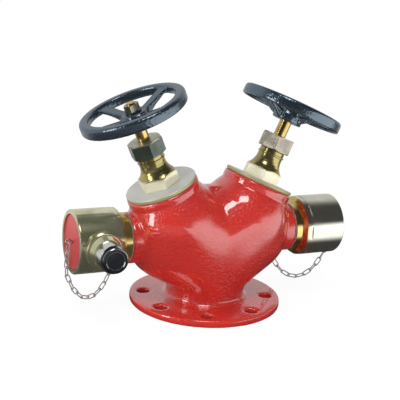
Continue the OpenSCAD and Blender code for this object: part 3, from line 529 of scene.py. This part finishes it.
def coupling_brass(name, barrel, barrel_shade, rough, metallic):
    """Golden on the collar by the outlet, paler on the barrel."""
    collar_gold, collar_dark = (0.76, 0.58, 0.22), (0.56, 0.42, 0.15)
    finish = Finish(name, barrel, rough, metallic=metallic)
    marks = finish.use(TURNED, Smear_Scale=24)
    smear = marks["Smear"]
    on_barrel = ramp(finish.tree, finish.use(STATIONS)["Out"], BARREL_START - 0.004, BARREL_START)
    collar = finish.blend(smear, collar_gold, collar_dark)
    finish.feed("Base Color", finish.blend(on_barrel, collar, finish.blend(smear, barrel, barrel_shade)))
    finish.spread("Roughness", smear, rough, rough + 0.10)
    finish.bump(marks["Marks"], MARK_DEPTH, MARK_STRENGTH)
    return finish.material


def nut_brass(name, flat, flat_shade, top, rough):
    """Brass flats with random smears, and the top face painted paler: a painted highlight."""
    finish = Finish(name, flat, rough, metallic=0.85)
    smear = finish.use(TURNED, Smear_Scale=60)["Smear"]
    along = finish.use(STATIONS)["Along Spindle"]
    # The top face is painted paler than the flats: a painted highlight.
    top_highlight = ramp(finish.tree, along, GLAND_NUT_TOP - 0.0022, GLAND_NUT_TOP - 0.0002)
    finish.feed("Base Color", finish.blend(top_highlight, finish.blend(smear, flat, flat_shade), top))
    finish.spread("Roughness", smear, rough, rough + 0.12)
    return finish.material


def knob_finish():
    """A black disc inside a chrome rim painted dark as a painted reflection, with a thin bright ring at
    its edge that is a painted highlight.
    """
    black, worn_black = (0.016, 0.018, 0.023), (0.030, 0.033, 0.040)
    # The chrome rim's dark colour is a painted dark reflection.
    chrome, pale_chrome = (0.20, 0.23, 0.22), (0.30, 0.33, 0.32)
    # The thin bright ring at the rim's edge is a painted highlight.
    lip_highlight_colour = (0.82, 0.84, 0.84)
    smooth, worn = 0.16, 0.30
    finish = Finish("knob_black_and_chrome", black, smooth)
    tone = finish.use(PATINA, Cloud_Scale=60, Speck_Scale=600)
    from_lug = finish.use(STATIONS)["From Lug"]
    rim = ramp(finish.tree, from_lug, KNOB_LIP_R - 0.0016, KNOB_LIP_R - 0.0013)
    lip_highlight = band(finish.tree, from_lug, KNOB_LIP_R - 0.0012, KNOB_LIP_R - 0.0002, 0.0003)
    dark = finish.blend(tone["Cloud"], black, worn_black)
    ring = finish.blend(tone["Cloud"], chrome, pale_chrome)
    finish.feed("Base Color", finish.blend(lip_highlight, finish.blend(rim, dark, ring), lip_highlight_colour))
    finish.feed("Metallic", rim)
    finish.spread("Roughness", tone["Speck"], smooth, worn)
    return finish.material


RED_CAST = enamel("red_enamel_on_casting", bright=(0.72, 0.032, 0.021), deep=(0.62, 0.020, 0.017),
                  rough=0.20, depth=0.00058)
RED_CAP = enamel("red_enamel_on_cap", bright=(0.60, 0.040, 0.034), deep=(0.46, 0.026, 0.024),
                 rough=0.34, depth=0.00010, pebble=0.10, coat=0.25)
WHEEL_BLACK = enamel("wheel_enamel", bright=(0.018, 0.026, 0.040), deep=(0.009, 0.013, 0.020),
                     rough=0.15, depth=0.00016, coat=0.0, gloss={"ior": 2.5, "tint": (0.66, 0.84, 1.0)})
BONNET_BRASS = bonnet_brass()
# The left nut is the same brass as the right, with its flats painted far darker: painted shade. Both
# tops carry the painted highlight.
NUT_BRASS = {
    "left": nut_brass("shaded_nut_brass", flat=(0.15, 0.18, 0.15), flat_shade=(0.10, 0.125, 0.11),
                      top=(0.62, 0.62, 0.50), rough=0.26),
    "right": nut_brass("dull_nut_brass", flat=(0.56, 0.50, 0.40), flat_shade=(0.38, 0.35, 0.29),
                       top=(0.64, 0.60, 0.48), rough=0.32),
}
COUPLING_BRASS = {
    "left": coupling_brass("smudged_coupling_brass", barrel=(0.92, 0.87, 0.60),
                           barrel_shade=(0.58, 0.58, 0.36), rough=0.13, metallic=0.90),
    "right": coupling_brass("coupling_brass", barrel=(0.80, 0.79, 0.70),
                            barrel_shade=(0.70, 0.68, 0.56), rough=0.12, metallic=0.97),
}
WHEEL_NUT_BRASS = metal("wheel_nut_brass", color=(0.46, 0.45, 0.34), shade=(0.28, 0.28, 0.22),
                        rough=0.20, mark_depth=FAINT_MARK_DEPTH)
SPINDLE_BRASS = metal("spindle_brass", color=(0.78, 0.56, 0.22), shade=(0.56, 0.38, 0.14), rough=0.16)
BRONZE = metal("bronze", color=(0.62, 0.44, 0.22), shade=(0.50, 0.34, 0.16), rough=0.28)
STEEL = metal("zinc_steel", color=(0.62, 0.62, 0.63), shade=(0.50, 0.50, 0.51), rough=0.26)
DARK_STEEL = metal("blackened_steel", color=(0.16, 0.17, 0.20), shade=(0.10, 0.11, 0.13), rough=0.26)
CHAIN_STEEL = metal("chain_steel", color=(0.80, 0.80, 0.81), shade=(0.62, 0.62, 0.64), rough=0.30,
                    metallic=0.6)
CHROME = metal("chrome", color=(0.80, 0.80, 0.83), shade=(0.72, 0.72, 0.75), rough=0.07,
               mark_depth=0.00002, smear=0.05)
KNOB = knob_finish()
RUBBER = dull("rubber", color=(0.035, 0.035, 0.035), shade=(0.05, 0.05, 0.05), rough=0.6,
              grain=800, depth=0.00008)
PACKING = dull("graphited_packing", color=(0.11, 0.105, 0.10), shade=(0.16, 0.15, 0.14), rough=0.7,
               grain=600, depth=0.0002)
FIBRE = dull("fibre_gasket", color=(0.30, 0.29, 0.27), shade=(0.22, 0.21, 0.20), rough=0.8,
             grain=900, depth=0.0001)

FINISH_OF = {
    "bonnet_gasket": FIBRE, "bonnet": BONNET_BRASS, "gland_packing": PACKING,
    "gland_follower": BRONZE, "gland_nut": NUT_BRASS, "spindle": SPINDLE_BRASS,
    "handwheel": WHEEL_BLACK, "wheel_washer": DARK_STEEL, "wheel_nut": WHEEL_NUT_BRASS,
    "valve_disc": BRONZE, "disc_hub_nut": BRONZE, "seat_washer": RUBBER, "washer_plate": BRONZE,
    "washer_nut": BRONZE, "coupling_gasket": FIBRE, "coupling": COUPLING_BRASS,
    "coupling_seal": RUBBER, "release_plunger": STEEL, "plunger_spring": STEEL,
    "spring_retainer": BRONZE, "release_sleeve": CHROME, "release_nut": STEEL,
    "release_cap": KNOB, "blank_cap": RED_CAP, "cap_eye": STEEL, "cap_eye_nut": STEEL,
    "chain": CHAIN_STEEL, "chain_anchor": STEEL,
}


def dress(obj, material):
    obj.data.materials.clear()
    obj.data.materials.append(material)


dress(NODES["body"], RED_CAST)
for side in SIDES:
    for piece, material in FINISH_OF.items():
        dress(NODES[side + "_" + piece], material[side] if isinstance(material, dict) else material)


# ---- Castings: soft skins over the solids ----

WELD_DISTANCE = 1e-6
BODY_SKIN = {"voxel": 0.0020, "passes": 55, "swell": 0.0007}
WHEEL_SKIN = {"voxel": 0.0011, "passes": 6, "swell": 0.0001}
PASS_STRENGTH = 0.5
LEAST_SOFT = 0.04
WEB_CRISPNESS = 0.88


def solid_skin(name, node, voxel):
    """A closed even skin over a solid."""
    piece = bpy.data.objects.new(name, NODES[node].data.copy())
    SCENE.collection.objects.link(piece)
    weld = bmesh.new()
    weld.from_mesh(piece.data)
    bmesh.ops.remove_doubles(weld, verts=weld.verts, dist=WELD_DISTANCE)
    weld.to_mesh(piece.data)
    weld.free()
    remesh = piece.modifiers.new("even_skin", "REMESH")
    remesh.mode = "VOXEL"
    remesh.voxel_size = voxel
    graph = bpy.context.evaluated_depsgraph_get()
    mesh = bpy.data.meshes.new_from_object(piece.evaluated_get(graph))
    piece.modifiers.clear()
    piece.data = mesh
    mesh.materials.clear()
    mesh.polygons.foreach_set("use_smooth", [True] * len(mesh.polygons))
    return piece


def soften(piece, softness, passes, swell):
    """Relaxes the skin: softness(points) is 0 where it stays crisp and 1 where it is rounded."""
    mesh = piece.data
    count = len(mesh.vertices)
    points = np.zeros(count * 3)
    mesh.vertices.foreach_get("co", points)
    points = points.reshape(-1, 3)
    ends = np.zeros(len(mesh.edges) * 2, np.int64)
    mesh.edges.foreach_get("vertices", ends)
    a, b = ends[0::2], ends[1::2]
    valence = np.bincount(a, minlength=count) + np.bincount(b, minlength=count)
    weight = softness(points)[:, None]
    for _ in range(passes):
        total = np.stack([
            np.bincount(a, points[b, k], count) + np.bincount(b, points[a, k], count)
            for k in range(3)], 1)
        points += PASS_STRENGTH * weight * (total / np.maximum(valence, 1)[:, None] - points)
    mesh.vertices.foreach_set("co", points.ravel())
    mesh.update()
    normals = np.zeros(count * 3)
    mesh.vertices.foreach_get("normal", normals)
    points += swell * weight * normals.reshape(-1, 3)
    points = np.clip(points, *cad_box)
    mesh.vertices.foreach_set("co", points.ravel())
    mesh.update()


def step(value, low, high):
    t = np.clip((value - low) / (high - low), 0, 1)
    return t * t * (3 - 2 * t)


def body_softness(points):
    """Crisp on the flange, the rims, the outlet rings and, mostly, the web; soft on the belly."""
    out = np.abs(points[:, 0])
    ring_start = OUTLET_REACH - OUTLET_RING_W
    soft = step(points[:, 2], FLANGE_T + 0.004, FLANGE_T + 0.016)
    soft *= 1 - step(out, ring_start - 0.006, ring_start)
    for sign in SIDES.values():
        axis = np.array([sign * math.sin(TILT), 0, math.cos(TILT)])
        along = points @ axis
        across = np.linalg.norm(points - along[:, None] * axis, axis=1)
        rim = step(along, RIM_REACH - RIM_H - 0.006, RIM_REACH - RIM_H - 0.001)
        rim *= 1 - step(across, RIM_R + 0.002, RIM_R + 0.006)
        soft *= 1 - rim
    near_web = 1 - step(out, WEB_W, WEB_W + 0.014)
    near_web *= step(points[:, 2], WEB_FOOT_H, WEB_FOOT_H + 0.02)
    soft *= 1 - WEB_CRISPNESS * near_web
    return LEAST_SOFT + (1 - LEAST_SOFT) * soft


def soft_all_over(points):
    return np.ones(len(points))


def add_casting(name, node, skin, softness, material, carrier):
    piece = solid_skin(name, node, skin["voxel"])
    soften(piece, softness, skin["passes"], skin["swell"])
    dress(piece, material)
    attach(piece, carrier)
    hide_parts(node)


add_casting("red_casting", "body", BODY_SKIN, body_softness, RED_CAST, "valve_body")
for side in SIDES:
    add_casting(side + "_cast_wheel", side + "_handwheel", WHEEL_SKIN, soft_all_over,
                WHEEL_BLACK, side + "_wheel")
